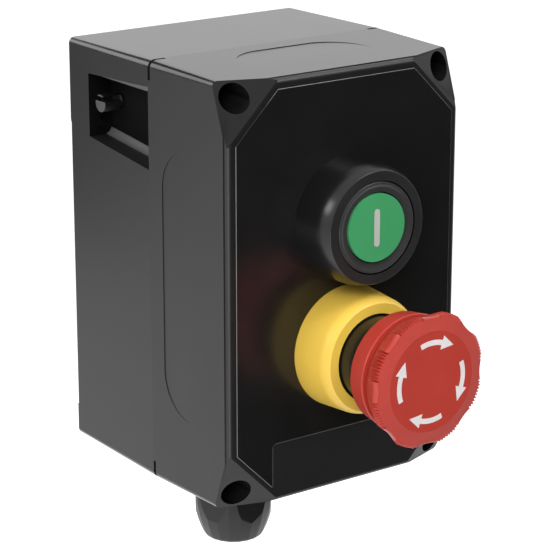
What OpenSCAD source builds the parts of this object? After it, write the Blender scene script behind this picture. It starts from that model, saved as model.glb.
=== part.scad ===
// Two-device control station: a wall box in two moulded shells, with a green
// start pushbutton above a twist-to-release emergency stop.
// The wall plane is y = 0, the front looks towards -Y and Z points up. The
// origin is the middle of the two wall screws. Depths are measured from the
// wall plane towards the front.

/* [Box] */
// Width of the box at the seam
box_w = 103.4; // [100:0.2:120]
// Height of the box at the seam
box_h = 156; // [154:0.5:180]
// Depth of the rear housing, from the wall to the seam
base_depth = 54; // [53:0.2:60]
// Depth of the front cover, from the seam to its outer front edge
cover_depth = 44.4; // [43.6:0.2:50]
// Radius of the long edges at the seam
edge_r = 3; // [2.2:0.1:3.5]
// Thickness of the side walls at the seam
wall = 4.5; // [4.2:0.1:5]
// Thickness of the back wall
back_wall = 4.5; // [3.5:0.1:5.5]
// Thickness of the front wall behind the label plate
front_wall = 4.4; // [3.6:0.1:5]
// Draft angle of the rear housing
base_draft = 0.8; // [0.5:0.1:1.5]
// Draft angle of the front cover
cover_draft = 1.3; // [0.8:0.1:1.6]
// Depth by which the back stands off the wall between its pads
back_relief = 0.5; // [0.3:0.1:1]
// Height of the pad along the top of the back
top_pad_h = 31; // [24:1:36]
// Height of the pad along the bottom of the back
bottom_pad_h = 13; // [10:1:20]

/* [Seam and cover screws] */
// Width of the seal between the shells
seam_seal_w = 2; // [1.6:0.1:2.4]
// Height of the seal between the shells
seam_seal_h = 2.2; // [1.6:0.1:3]
// Side of the square relief in each corner of the seam
corner_gap_side = 7; // [5:0.5:8]
// Height of that relief
corner_gap_h = 1.4; // [0.8:0.1:2]
// Leg of the corner blocks that hold the cover screws, inside the box
corner_leg = 16.2; // [14:0.2:18]
// Distance of each cover screw from the side of the box
screw_side = 7.2; // [6.8:0.1:8]
// Distance of each cover screw from the top or bottom of the box
screw_end = 6.8; // [6.7:0.1:8]
// Diameter of the screw wells
well_d = 10.2; // [9.2:0.2:10.4]
// Thickness under the screw heads
well_floor = 8.2; // [6:0.2:12]
// Diameter of the cover screw shanks
screw_d = 5; // [4:0.5:5]
// Diameter of the cover screw heads
screw_head_d = 8.6; // [7.6:0.2:9]
// Height of the cover screw heads
screw_head_h = 4; // [3:0.5:5]
// Diameter of the threaded inserts
insert_d = 7; // [6.4:0.2:7.6]
// Length of the threaded inserts
insert_l = 11; // [8:0.5:14]

/* [Front face] */
// Rise of the front panel above the outer front edge of the cover
panel_rise = 2.2; // [2:0.1:3]
// Width of the ledge around the panel
panel_ledge = 0.4; // [0.2:0.1:0.8]
// Radius of the panel's rim
panel_round = 1.8; // [1:0.1:2]
// Leg of the sloping corner facets
facet_leg = 24.4; // [22:0.2:28]
// Step from the panel down to each facet
facet_step = 0.7; // [0.3:0.1:1.2]
// Slope of the facets
facet_slope = 26.5; // [20:0.5:32]
// Width of the label plate
plate_w = 94.4; // [90:0.2:95]
// Height of the label plate
plate_h = 146.6; // [140:0.2:148]
// Leg of the label plate's corner chamfers
plate_corner = 17.5; // [16.5:0.5:22]
// Thickness of the label plate
plate_t = 0.9; // [0.6:0.1:1.5]
// Depth of the recess that the label plate sits in
plate_recess = 0.5; // [0.3:0.1:0.6]
// Width of the open field at the foot of the label plate
field_w = 63.2; // [50:0.2:66]
// Height of that field
field_h = 18.6; // [12:0.2:19]
// Radius at the upper corners of the field
field_r = 1.4; // [0.6:0.2:2.5]

/* [Side reliefs] */
// Distance of the side reliefs from the seam
relief_start = 7.9; // [5:0.1:12]
// Length of the reliefs, along the height of the box
relief_long = 99; // [70:1:102]
// Length of the reliefs, across its width
relief_short = 54; // [36:1:56]
// Depth of the reliefs at their rear edge
relief_depth = 0.25; // [0.15:0.05:0.35]
// Length over which the reliefs run out
relief_run = 18; // [14:1:30]
// Corner radius of the reliefs
relief_r = 16; // [6:0.5:20]

/* [Fixing channels] */
// Depth of the channels, from the side of the box inwards
channel_depth = 10; // [9.5:0.5:11]
// Height of each channel's floor above the middle, at its back
channel_low = 42.7; // [42:0.1:43]
// Height of each channel's ceiling above the middle, at its back
channel_high = 66.2; // [65.8:0.1:67]
// Fall of the floor towards the seam
channel_fall = 4.1; // [3:0.1:5]
// Rise of the ceiling's bevelled edge towards the seam
channel_rise = 2.2; // [1.5:0.1:2.5]
// Width of that edge, from the side of the box inwards
channel_lip = 1.6; // [1:0.1:2.4]
// Thickness of the floor that the wall screws bear on
channel_back = 13.4; // [10:0.1:14]
// Thickness of the walls around the channels
channel_wall = 4; // [3.6:0.1:4.4]
// Radius between the floor and the inner wall
channel_r = 3; // [2:0.5:5]
// Diameter of the circle through the two wall screws
fixing_circle = 130; // [129:0.5:131]
// Distance of the wall screws from the middle plane
fixing_x = 44.7; // [44:0.1:45]
// Diameter of the wall screw holes
fixing_d = 5.5; // [5:0.1:6]

/* [Bonding terminal] */
// Diameter of the slotted stud
stud_d = 6.4; // [6:0.1:6.6]
// Height of the stud above the channel floor at its back
stud_rise = 13.3; // [12.6:0.1:13.4]
// Depth of the stud's axis from the wall
stud_depth = 19.6; // [18.8:0.2:22]
// Length of the stud outside the channel wall
stud_out = 8.4; // [6:0.2:9]
// Width of the slot along the stud
stud_slot = 1.8; // [1.2:0.2:2.2]

/* [Devices] */
// Distance between the middles of the two devices
device_pitch = 47.4; // [47:0.2:56]
// Diameter of the device collars at the label plate
collar_d = 45; // [43:0.5:46]
// Height of the collars above the label plate
collar_h = 17.3; // [16:0.1:20]
// Diameter of the threaded sleeves
sleeve_d = 30; // [28:0.5:31]
// Depth of the rear end of the sleeves
sleeve_rear = 78; // [76:0.5:80]
// Length of the sleeves in front of the label plate
sleeve_front = 6; // [5:0.2:7]
// Thickness of the sleeves' rear lips
sleeve_lip = 1.6; // [1.2:0.1:2.4]
// Diameter of the shafts that slide in the sleeves
shaft_d = 19.9; // [18:0.1:21]
// Diameter of the push rods behind the shafts
rod_d = 8; // [6:0.5:9]
// Running clearance of the shafts and rods, on radius
slide_gap = 0.05; // [0.03:0.01:0.08]
// Clearance of the threads and loose fits, on radius
fit_gap = 0.1; // [0.05:0.05:0.2]
// Outer diameter of the lock nuts
lock_nut_d = 41; // [38:0.5:43]
// Height of the lock nuts
lock_nut_h = 6; // [4:0.5:8]
// Thickness of the seals under the collars
collar_seal_h = 1.2; // [0.8:0.1:1.6]

/* [Start button] */
// Diameter of the bore in the start collar
start_bore_d = 33.4; // [32:0.1:35]
// Diameter of the start button
start_cap_d = 32.8; // [31:0.1:33]
// Thickness of the start button
start_cap_h = 6; // [5:0.2:7]
// Diameter of the green insert
start_insert_d = 24.8; // [20:0.1:27]
// Thickness of the green insert
start_insert_t = 1.4; // [1:0.1:2]

/* [Emergency stop] */
// Diameter of the bore in the yellow collar
estop_bore_d = 32.2; // [31.6:0.1:34]
// Diameter of the black neck behind the head
neck_d = 31; // [29:0.1:31.2]
// Distance of the head's rear edge from the front of the collar
head_rise = 11.7; // [10:0.1:14]
// Diameter of the head's skirt at its rear edge
skirt_d = 40.2; // [38:0.2:42]
// Diameter of the head's skirt at its front edge
skirt_front_d = 42.2; // [40:0.2:44]
// Height of the skirt
skirt_h = 8.2; // [6:0.2:10]
// Width of the groove between skirt and cap
head_groove = 0.9; // [0.6:0.1:1.4]
// Greatest diameter of the cap
cap_d = 48.5; // [45:0.1:52]
// Height of the cap above the groove
cap_h = 10.1; // [8:0.1:12]
// Number of finger hollows around the cap
cap_hollows = 8; // [6:1:10]
// Depth of the finger hollows
cap_hollow_depth = 1.4; // [1:0.1:2.4]
// Width of the finger hollows
cap_hollow_w = 11; // [8:0.5:13]
// Diameter of the front disc
disc_d = 36.6; // [32:0.2:40]
// Thickness of the front disc
disc_t = 1.8; // [1.2:0.1:2.4]
// Travel of the emergency stop
estop_travel = 5; // [4:0.1:5.2]
// Turn that releases the emergency stop
estop_turn = 35; // [25:1:45]

/* [Contact blocks] */
// Width of the contact blocks
block_w = 42; // [38:1:46]
// Height of the contact blocks
block_h = 36; // [32:1:40]
// Depth of the contact blocks' front
block_front = 56.4; // [54:0.2:57]
// Diameter of the contact plungers
plunger_d = 6; // [5:0.5:7]
// Width of the mounting rail
rail_w = 35; // [35:1:35]
// Height of the mounting rail
rail_h = 7.5; // [7.5:0.5:15]
// Thickness of the mounting rail
rail_t = 1; // [1:0.1:1.5]
// Length of the mounting rail
rail_l = 111; // [108:1:114]
// Height of the bosses that carry the rail
rail_boss_h = 2; // [1.5:0.5:4]

/* [Cable gland] */
// Diameter of the gland's thread
gland_thread_d = 25; // [20:1:25]
// Depth of the gland's axis from the wall
gland_depth = 30.6; // [29:0.1:34]
// Width across the flats of the gland's body and nut
gland_flats = 29.4; // [29.4:0.1:31]
// Diameter of the cap nut at its upper edge
gland_cap_d = 32.2; // [31:0.1:33]
// Length of the cap nut
gland_cap_l = 31; // [30:0.2:36]
// Radius of the arc that draws the cap nut's sides in
gland_cap_arc = 40; // [30:1:60]
// Diameter of the hole for the cable
gland_hole_d = 17; // [12:0.5:18]
// Angle at which the cap nut came to rest when it was tightened
gland_cap_turn = 53; // [0:1:59]

/* [Hidden] */
$fn = 64;

shell_black = [0.13, 0.13, 0.14];
plate_black = [0.07, 0.07, 0.08];
collar_black = [0.10, 0.10, 0.11];
signal_yellow = [0.96, 0.80, 0.22];
signal_red = [0.78, 0.18, 0.14];
disc_red = [0.66, 0.12, 0.10];
signal_green = [0.20, 0.58, 0.34];
rubber_black = [0.08, 0.08, 0.08];
steel = [0.72, 0.73, 0.75];
brass = [0.78, 0.64, 0.32];
block_grey = [0.82, 0.83, 0.82];
nylon_black = [0.16, 0.16, 0.17];
earth_green = [0.45, 0.62, 0.20];

over = 0.5;
slice = 0.01;
half_w = box_w / 2;
half_h = box_h / 2;
cover_front = base_depth + cover_depth;
panel_front = cover_front + panel_rise;
plate_front = panel_front - plate_recess + plate_t;
front_inner = panel_front - front_wall;
base_taper = base_depth * tan(base_draft);
cover_taper = cover_depth * tan(cover_draft);
screw_x = half_w - screw_side;
screw_z = half_h - screw_end;
well_bottom = base_depth + well_floor;
fixing_z = sqrt(pow(fixing_circle / 2, 2) - pow(fixing_x, 2));
device_z = device_pitch / 2;
collar_front = plate_front + collar_h;
sleeve_end = plate_front + sleeve_front;
bore_d = shaft_d + 2 * slide_gap;
rod_rear = block_front + 5.9;
plunger_front = rod_rear - 0.3;
spring_seat = sleeve_rear + sleeve_lip;
start_shaft_rear = spring_seat + 10.5;
estop_shaft_rear = spring_seat + 9.5;
channel_x = half_w - channel_depth;
stud_z = channel_low + stud_rise;
rail_back = back_wall + rail_boss_h;
rail_front = rail_back + rail_h;
rail_screw_heights = [0, 47.5];
rail_mid = -1.5;
insert_top = base_depth - 0.2;
head_rear = collar_front + head_rise;
skirt_front = head_rear + skirt_h;
cap_rear = skirt_front + head_groove;
head_front = cap_rear + cap_h;
pin_d = 12;
pin_front = skirt_front - 1;
coil_sides = 6;
coil_steps = 16;

// Places a shape that is drawn as seen from the front, with its z axis along
// the depth, at one depth from the wall plane.
module at_depth(depth) {
    translate([0, -depth, 0])
        rotate([90, 0, 0])
            children();
}

// Places a shape on the axis of the upper (1) or the lower (-1) device.
module at_device(level, depth) {
    translate([0, 0, level * device_z])
        at_depth(depth)
            children();
}

// Extrudes an outline of [x, depth] points along the height of the box.
module extrude_upright(outline, height) {
    translate([0, 0, -height / 2])
        linear_extrude(height)
            polygon([for (p = outline) [p[0], -p[1]]]);
}

// Ring between two diameters.
module ring(outer_d, inner_d, height) {
    difference() {
        cylinder(h = height, d = outer_d);
        translate([0, 0, -over])
            cylinder(h = height + 2 * over, d = inner_d);
    }
}

// Places a child at the four cover screws.
module at_cover_screws() {
    for (side = [-1, 1])
        for (end = [-1, 1])
            translate([side * screw_x, end * screw_z, 0])
                children();
}

// Block with rounded long edges whose sides lean in by taper over its height.
module drafted_block(w, h, r, height, taper) {
    hull()
        for (side = [-1, 1])
            for (end = [-1, 1])
                translate([side * (w / 2 - r), end * (h / 2 - r), 0])
                    cylinder(h = height, r1 = r, r2 = r - taper, $fn = 32);
}

// Area inside the seal line. At grow = 0 it is the outline of the inner space,
// and at a larger grow it lies that much closer to the outside.
module sealed_area(grow) {
    w = half_w - wall + grow;
    h = half_h - wall + grow;
    leg = corner_leg + (2 - sqrt(2)) * grow;
    difference() {
        polygon([[w - leg, h], [w, h - leg], [w, leg - h], [w - leg, -h],
                 [leg - w, -h], [-w, leg - h], [-w, h - leg], [leg - w, h]]);
        for (turn = [0, 180])
            rotate(turn)
                translate([-half_w - over, channel_low - channel_fall - channel_wall + grow])
                    square([channel_depth + channel_wall - grow + over,
                            channel_high + channel_rise - channel_low + channel_fall
                                + 2 * (channel_wall - grow)]);
    }
}

// Cross-section of a fixing channel, open to the left.
module channel_outline(low) {
    polygon([[-half_w - over, low], [-channel_x - channel_r, low],
             [-channel_x, low + channel_r], [-channel_x, channel_high],
             [-half_w - over, channel_high]]);
    translate([-channel_x - channel_r, low + channel_r])
        circle(r = channel_r, $fn = 32);
}

// Space of a fixing channel, which widens from its back towards the seam.
module channel_space() {
    hull() {
        translate([0, 0, channel_back])
            linear_extrude(slice)
                channel_outline(channel_low);
        translate([0, 0, base_depth])
            linear_extrude(over)
                channel_outline(channel_low - channel_fall);
    }
    // Bevel along the edge of the ceiling, from nothing at the back
    hull() {
        translate([-half_w - over, channel_high - over, channel_back])
            cube([channel_lip + over, over, slice]);
        translate([0, 0, base_depth])
            linear_extrude(over)
                polygon([[-half_w - over, channel_high - over],
                         [-half_w + channel_lip, channel_high - over],
                         [-half_w + channel_lip, channel_high],
                         [-half_w, channel_high + channel_rise],
                         [-half_w - over, channel_high + channel_rise]]);
    }
}

module rear_housing() {
    color(shell_black)
    at_depth(0)
    difference() {
        union() {
            translate([0, 0, base_depth])
                mirror([0, 0, 1])
                    drafted_block(box_w, box_h, edge_r, base_depth, base_taper);
            // Flat seat for the cable gland under the box
            translate([0, -half_h + base_taper, gland_depth])
                rotate([90, 0, 0])
                    cylinder(h = gland_seat, d = gland_flats + 6);
        }
        difference() {
            translate([0, 0, back_wall])
                linear_extrude(base_depth)
                    sealed_area(0);
            for (height = rail_screw_heights)
                translate([0, height, 0])
                    cylinder(h = rail_back, d = 9);
        }
        for (turn = [0, 180])
            rotate(turn) {
                channel_space();
                translate([-fixing_x, fixing_z, -over])
                    cylinder(h = channel_back + 2 * over, d = fixing_d);
            }
        // Relief between the pads of the back, which leaves a ring at each wall screw
        difference() {
            translate([-half_w - over, bottom_pad_h - half_h, -over])
                cube([box_w + 2 * over, box_h - top_pad_h - bottom_pad_h, back_relief + over]);
            for (turn = [0, 180])
                rotate(turn)
                    translate([-fixing_x, fixing_z, -2 * over])
                        cylinder(h = back_relief + 4 * over, d = fixing_d + 7);
        }
        at_cover_screws()
            translate([0, 0, base_depth - insert_l - 3])
                cylinder(h = insert_l + 3 + over, d = insert_d);
        for (height = rail_screw_heights)
            translate([0, height, rail_screw_tip])
                cylinder(h = rail_back, d = rail_screw_d + 2 * slide_gap);
        translate([-half_w, stud_z, stud_depth])
            rotate([0, 90, 0])
                cylinder(h = channel_depth + channel_wall + over, d = stud_thread_d + 2 * slide_gap);
        translate([0, -half_h + wall + over, gland_depth])
            rotate([90, 0, 0])
                cylinder(h = wall + gland_seat + 2 * over, d = gland_thread_d + 2 * fit_gap);
    }
}

gland_seat = 1.5;
rail_screw_d = 4;
rail_screw_tip = 1.4;
stud_thread_d = 6;

// Prism that takes one corner of the front down to its sloping facet, drawn for
// the upper right corner.
module facet_space() {
    start = (half_w + half_h - facet_leg) / sqrt(2);
    reach = (half_w + half_h) / sqrt(2) + 2;
    top = panel_front + over;
    fall = (reach - start) * tan(facet_slope);
    rotate([0, 0, 45])
        rotate([90, 0, 0])
            linear_extrude(3 * facet_leg, center = true)
                polygon([[start, top], [start, panel_front - facet_step],
                         [reach, panel_front - facet_step - fall], [reach, top]]);
}

// Shallow relief in one wall of the cover: it starts at a crisp curved edge and
// runs out towards the front. It is drawn in a plane whose y axis points to
// the front, with its height cut into the wall.
module wall_relief(length) {
    w = length - 2 * relief_r;
    run = relief_run + relief_r;
    translate([0, relief_start, 0])
        rotate([atan(relief_depth / relief_run), 0, 0])
            translate([0, 0, -relief_depth])
                linear_extrude(3) {
                    translate([-length / 2, relief_r])
                        square([length, run - relief_r]);
                    translate([-w / 2, 0])
                        square([w, run]);
                    for (side = [-1, 1])
                        translate([side * w / 2, relief_r])
                            circle(r = relief_r);
                }
}

// Places the relief on the wall that looks along the angle, at the given half width.
module at_cover_wall(angle, half) {
    rotate([0, 0, angle])
        translate([0, -half, base_depth])
            rotate([90 - cover_draft, 0, 0])
                children();
}

module front_cover() {
    color(shell_black)
    at_depth(0)
    difference() {
        union() {
            translate([0, 0, base_depth])
                drafted_block(box_w, box_h, edge_r, cover_depth, cover_taper);
            translate([0, 0, cover_front - over])
                front_panel();
        }
        translate([0, 0, base_depth - over])
            linear_extrude(front_inner - base_depth + over)
                sealed_area(0);
        // Groove for the seal, in the rim at the seam
        translate([0, 0, base_depth - over])
            linear_extrude(seam_seal_h + over)
                seal_outline();
        translate([0, 0, panel_front - plate_recess])
            linear_extrude(plate_recess + over)
                plate_outline(fit_gap);
        for (level = [-1, 1])
            translate([0, level * device_z, front_inner - over])
                device_hole(panel_front);
        for (end = [0, 1])
            for (side = [0, 1])
                mirror([side, 0, 0])
                    mirror([0, end, 0]) {
                        facet_space();
                        translate([half_w - corner_gap_side, half_h - corner_gap_side, base_depth - over])
                            cube([corner_gap_side + over, corner_gap_side + over, corner_gap_h + over]);
                    }
        at_cover_screws() {
            translate([0, 0, well_bottom])
                cylinder(h = panel_front, d = well_d);
            translate([0, 0, base_depth])
                cylinder(h = well_floor + over, d = screw_d + 4 * fit_gap);
        }
        for (angle = [0, 180])
            at_cover_wall(angle, half_h)
                wall_relief(relief_short);
        for (angle = [90, 270])
            at_cover_wall(angle, half_w)
                wall_relief(relief_long);
    }
}

// Cross-section of the raised front panel at one half width.
module panel_outline(half) {
    top = panel_rise + over;
    translate([-half, 0])
        square([2 * half, top - panel_round]);
    translate([-half + panel_round, 0])
        square([2 * (half - panel_round), top]);
    for (side = [-1, 1])
        translate([side * (half - panel_round), top - panel_round])
            circle(r = panel_round, $fn = 32);
}

// Raised middle of the cover's front, with a rounded rim on all four sides.
module front_panel() {
    intersection() {
        rotate([90, 0, 0])
            linear_extrude(box_h, center = true)
                panel_outline(half_w - cover_taper - panel_ledge);
        rotate([90, 0, 90])
            linear_extrude(box_w, center = true)
                panel_outline(half_h - cover_taper - panel_ledge);
    }
}

// Hole for a device, with the notch that keeps its sleeve from turning.
module device_hole(height) {
    cylinder(h = height, d = sleeve_d + 2 * fit_gap);
    translate([-key_w / 2 - fit_gap, 0, 0])
        cube([key_w + 2 * fit_gap, sleeve_d / 2 + key_h + fit_gap, height]);
}

key_w = 3;
key_h = 1.3;

// Track of the seal between the shells.
module seal_outline() {
    difference() {
        sealed_area((channel_wall + seam_seal_w) / 2);
        sealed_area((channel_wall - seam_seal_w) / 2);
    }
}

module cover_gasket() {
    color(rubber_black)
    at_depth(base_depth)
        linear_extrude(seam_seal_h)
            seal_outline();
}

module cover_screws() {
    tip = insert_top - insert_l - 0.5;
    color(steel)
    at_depth(0)
    at_cover_screws()
    difference() {
        union() {
            translate([0, 0, tip])
                cylinder(h = well_bottom - tip, d = screw_d);
            translate([0, 0, well_bottom])
                cylinder(h = screw_head_h, d = screw_head_d);
        }
        for (turn = [0, 90])
            rotate(turn)
                translate([-screw_head_d / 3, -0.6, well_bottom + screw_head_h / 2])
                    cube([2 * screw_head_d / 3, 1.2, screw_head_h]);
    }
}

module threaded_inserts() {
    color(brass)
    at_depth(insert_top - insert_l)
    at_cover_screws()
        difference() {
            ring(insert_d, screw_d + 2 * slide_gap, insert_l);
            // Waist between the two knurled bands
            translate([0, 0, insert_l / 2 - 0.8])
                ring(insert_d + 1, insert_d - 0.8, 1.6);
        }
}

// Outline of the label plate: chamfered corners, and an open field at its foot.
module plate_outline(gap) {
    w = plate_w / 2 + gap;
    h = plate_h / 2 + gap;
    leg = plate_corner;
    f = field_w / 2 - gap;
    top = field_h - h - gap;
    difference() {
        polygon([[w - leg, h], [w, h - leg], [w, leg - h], [w - leg, -h],
                 [leg - w, -h], [-w, leg - h], [-w, h - leg], [leg - w, h]]);
        translate([-f + field_r, -h - over])
            square([2 * (f - field_r), top + h + over]);
        translate([-f, -h - over])
            square([2 * f, top + h + over - field_r]);
        for (side = [-1, 1])
            translate([side * (f - field_r), top - field_r])
                circle(r = field_r);
    }
}

module label_plate() {
    color(plate_black)
    at_depth(panel_front - plate_recess)
    difference() {
        linear_extrude(plate_t)
            plate_outline(0);
        for (level = [-1, 1])
            translate([0, level * device_z, -over])
                device_hole(plate_t + 2 * over);
    }
}

// Collar seal groove, from the plate, with room for the sleeve's thread.
module collar_bore(bore) {
    translate([0, 0, -over])
        cylinder(h = collar_seal_h + over, d = collar_d - 4);
    cylinder(h = collar_h, d = sleeve_d + 2 * fit_gap);
    translate([0, 0, sleeve_front])
        cylinder(h = collar_h, d = bore);
}

module start_collar() {
    shoulder = 21.7;
    face_r = 20.4;
    arc_r = 8;
    arc_h = collar_h - sqrt(pow(arc_r, 2) - pow(face_r - shoulder + arc_r, 2));
    color(collar_black)
    at_device(1, plate_front)
    difference() {
        rotate_extrude() {
            polygon([[0, 0], [collar_d / 2, 0], [shoulder, arc_h], [0, arc_h]]);
            intersection() {
                union() {
                    square([shoulder - arc_r, collar_h]);
                    translate([shoulder - arc_r, arc_h])
                        circle(r = arc_r);
                }
                square([shoulder, collar_h]);
            }
        }
        collar_bore(start_bore_d);
    }
}

module estop_collar() {
    shoulder = 21.6;
    face_r = 19.8;
    arc_r = 8;
    arc_h = collar_h - sqrt(pow(arc_r, 2) - pow(face_r - shoulder + arc_r, 2));
    color(signal_yellow)
    at_device(-1, plate_front)
    difference() {
        rotate_extrude() {
            polygon([[0, 0], [collar_d / 2, 0], [collar_d / 2, 1.5], [shoulder, arc_h], [0, arc_h]]);
            intersection() {
                union() {
                    square([shoulder - arc_r, collar_h]);
                    translate([shoulder - arc_r, arc_h])
                        circle(r = arc_r);
                }
                square([shoulder, collar_h]);
            }
        }
        collar_bore(estop_bore_d);
    }
}

module collar_seal(level) {
    color(rubber_black)
    at_device(level, plate_front)
        ring(collar_d - 4, sleeve_d + 2 * (key_h + 2 * fit_gap), collar_seal_h);
}

module start_collar_seal() {
    collar_seal(1);
}

module estop_collar_seal() {
    collar_seal(-1);
}

// Threaded sleeve through the cover, with its key, its bore and its rear lip.
module sleeve(level, groove) {
    color(nylon_black)
    at_device(level, 0)
    difference() {
        union() {
            translate([0, 0, sleeve_rear])
                cylinder(h = sleeve_end - sleeve_rear, d = sleeve_d);
            translate([-key_w / 2, 0, front_inner])
                cube([key_w, sleeve_d / 2 + key_h, plate_front - front_inner]);
        }
        translate([0, 0, sleeve_rear - over])
            cylinder(h = sleeve_lip + 2 * over, d = rod_d + 2 * slide_gap);
        translate([0, 0, spring_seat])
            cylinder(h = sleeve_end, d = bore_d);
        if (groove)
            translate([0, 0, latch_depth])
                cylinder(h = latch_h, d = bore_d + 2 * latch_groove);
    }
}

latch_depth = sleeve_rear + 17;
latch_h = 2;
latch_groove = 1.2;

module start_sleeve() {
    sleeve(1, false);
}

module estop_sleeve() {
    sleeve(-1, true);
}

// Round nut with six spanner slots, tight against the inside of the cover.
module lock_nut(level) {
    color(nylon_black)
    at_device(level, front_inner - lock_nut_h)
    difference() {
        ring(lock_nut_d, sleeve_d + 2 * slide_gap, lock_nut_h);
        for (turn = [0:60:300])
            rotate(turn)
                translate([lock_nut_d / 2 - 2.2, -2, -over])
                    cube([4, 4, lock_nut_h + 2 * over]);
    }
}

module start_lock_nut() {
    lock_nut(1);
}

module estop_lock_nut() {
    lock_nut(-1);
}

// Sliding shaft with its push rod and the groove for its clip.
module shaft(shaft_rear, shaft_front) {
    translate([0, 0, shaft_rear])
        cylinder(h = shaft_front - shaft_rear, d = shaft_d);
    difference() {
        translate([0, 0, rod_rear])
            cylinder(h = shaft_rear - rod_rear, d = rod_d);
        translate([0, 0, clip_rear])
            ring(rod_d + 2, clip_groove_d, clip_t);
    }
}

clip_t = 0.9;
clip_rear = sleeve_rear - 0.2 - clip_t;
clip_groove_d = rod_d - 1.6;
seal_depth = sleeve_end - 2.7;
seal_r = 0.75;

module start_button() {
    cap_rear_depth = collar_front - start_cap_h;
    edge = 0.8;
    color(collar_black)
    at_device(1, 0)
    difference() {
        union() {
            shaft(start_shaft_rear, cap_rear_depth);
            translate([0, 0, cap_rear_depth])
                rotate_extrude() {
                    square([start_cap_d / 2, start_cap_h - edge]);
                    square([start_cap_d / 2 - edge, start_cap_h]);
                    translate([start_cap_d / 2 - edge, start_cap_h - edge])
                        circle(r = edge);
                }
        }
        translate([0, 0, collar_front - start_insert_t])
            cylinder(h = start_insert_t + over, d = start_insert_d + 2 * fit_gap);
        shaft_seal_groove();
    }
}

module start_insert() {
    color(signal_green)
    at_device(1, collar_front - start_insert_t)
        cylinder(h = start_insert_t, d = start_insert_d);
}

// Groove around a shaft for its seal.
module shaft_seal_groove() {
    translate([0, 0, seal_depth - seal_r - fit_gap])
        ring(shaft_d + 2, shaft_d - 4 * seal_r - 2 * slide_gap, 2 * (seal_r + fit_gap));
}

// Seal ring that wipes the bore of the sleeve.
module shaft_seal(level) {
    color(rubber_black)
    at_device(level, seal_depth)
        rotate_extrude()
            translate([shaft_d / 2 - seal_r, 0])
                circle(r = seal_r, $fn = 32);
}

module start_shaft_seal() {
    shaft_seal(1);
}

module estop_shaft_seal() {
    shaft_seal(-1);
}

// Open retaining ring on the push rod, behind the sleeve's lip.
module clip(level) {
    color(steel)
    at_device(level, clip_rear)
    difference() {
        ring(rod_d + 6, clip_groove_d, clip_t);
        translate([-rod_d / 2 + 1.4, -rod_d, -over])
            cube([rod_d - 2.8, rod_d, clip_t + 2 * over]);
    }
}

module start_clip() {
    clip(1);
}

module estop_clip() {
    clip(-1);
}

// Coil spring: rings of points around the wire, along the helix of its middle.
module coil_spring(mean_r, wire_r, length, turns) {
    steps = turns * coil_steps;
    points = [for (i = [0:steps]) for (k = [0:coil_sides - 1])
        let (a = 360 * i / coil_steps,
             b = 360 * k / coil_sides,
             r = mean_r + wire_r * cos(b))
        [r * cos(a), r * sin(a), wire_r + (length - 2 * wire_r) * i / steps + wire_r * sin(b)]];
    sides = [for (i = [0:steps - 1]) for (k = [0:coil_sides - 1])
        let (n = (k + 1) % coil_sides,
             p = i * coil_sides,
             q = p + coil_sides)
        each [[p + k, q + k, q + n], [p + k, q + n, p + n]]];
    ends = [[for (k = [0:coil_sides - 1]) k],
            [for (k = [coil_sides - 1:-1:0]) steps * coil_sides + k]];
    polyhedron(points = points, faces = concat(sides, ends));
}

module start_spring() {
    color(steel)
    at_device(1, spring_seat)
        coil_spring((bore_d + rod_d) / 4 + 0.4, 0.6, start_shaft_rear - spring_seat, 5);
}

module estop_spring() {
    color(steel)
    at_device(-1, spring_seat)
        coil_spring((bore_d + rod_d) / 4 + 0.4, 0.7, estop_shaft_rear - spring_seat, 4);
}

module estop_shaft() {
    collar_stop = plate_front + collar_h - 3;
    detent = 0.4;
    color(nylon_black)
    at_device(-1, 0)
    difference() {
        union() {
            shaft(estop_shaft_rear, collar_stop);
            translate([0, 0, collar_stop])
                cylinder(h = pin_front - collar_stop, d = pin_d);
            // Key that limits the turn of the head
            translate([0, -stop_w / 2, head_rear])
                cube([pin_d / 2 + stop_h, stop_w, stop_l]);
        }
        // Detents for the latch ring, at rest and when pressed
        for (shift = [0, estop_travel])
            translate([0, 0, latch_depth + shift])
                ring(shaft_d + 2, shaft_d - 2 * detent, latch_h);
        shaft_seal_groove();
        translate([0, 0, pin_front - head_screw_l - 2])
            cylinder(h = head_screw_l + 2 + over, d = head_screw_d + 2 * slide_gap);
    }
}

stop_w = 3;
stop_h = 2.4;
stop_l = 3;
stop_clear = 1;
head_screw_d = 4;
head_screw_l = 8;
head_screw_h = 2;
head_screw_head = 7;
slot_w = 1;

// Split ring that snaps into the detents of the shaft.
module estop_latch_ring() {
    color(steel)
    at_device(-1, latch_depth + 0.1)
    rotate(20)
    rotate_extrude(angle = 320)
        translate([bore_d / 2, 0])
            square([latch_groove - 0.1, latch_h - 0.2]);
}

// Sleeve that covers the gap between the collar and the head.
module estop_neck() {
    rear = plate_front + sleeve_front + estop_travel + 0.6;
    seat = collar_front - 3;
    color(collar_black)
    at_device(-1, 0)
    difference() {
        translate([0, 0, rear])
            cylinder(h = head_rear - 0.3 - rear, d = neck_d);
        translate([0, 0, rear - over])
            cylinder(h = seat - rear + over, d = shaft_d);
        translate([0, 0, seat - over])
            cylinder(h = head_rear, d = pin_d + 2 * fit_gap);
        translate([0, 0, seat + 2.5])
            cylinder(h = head_rear, d = neck_d - 5);
    }
}

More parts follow.
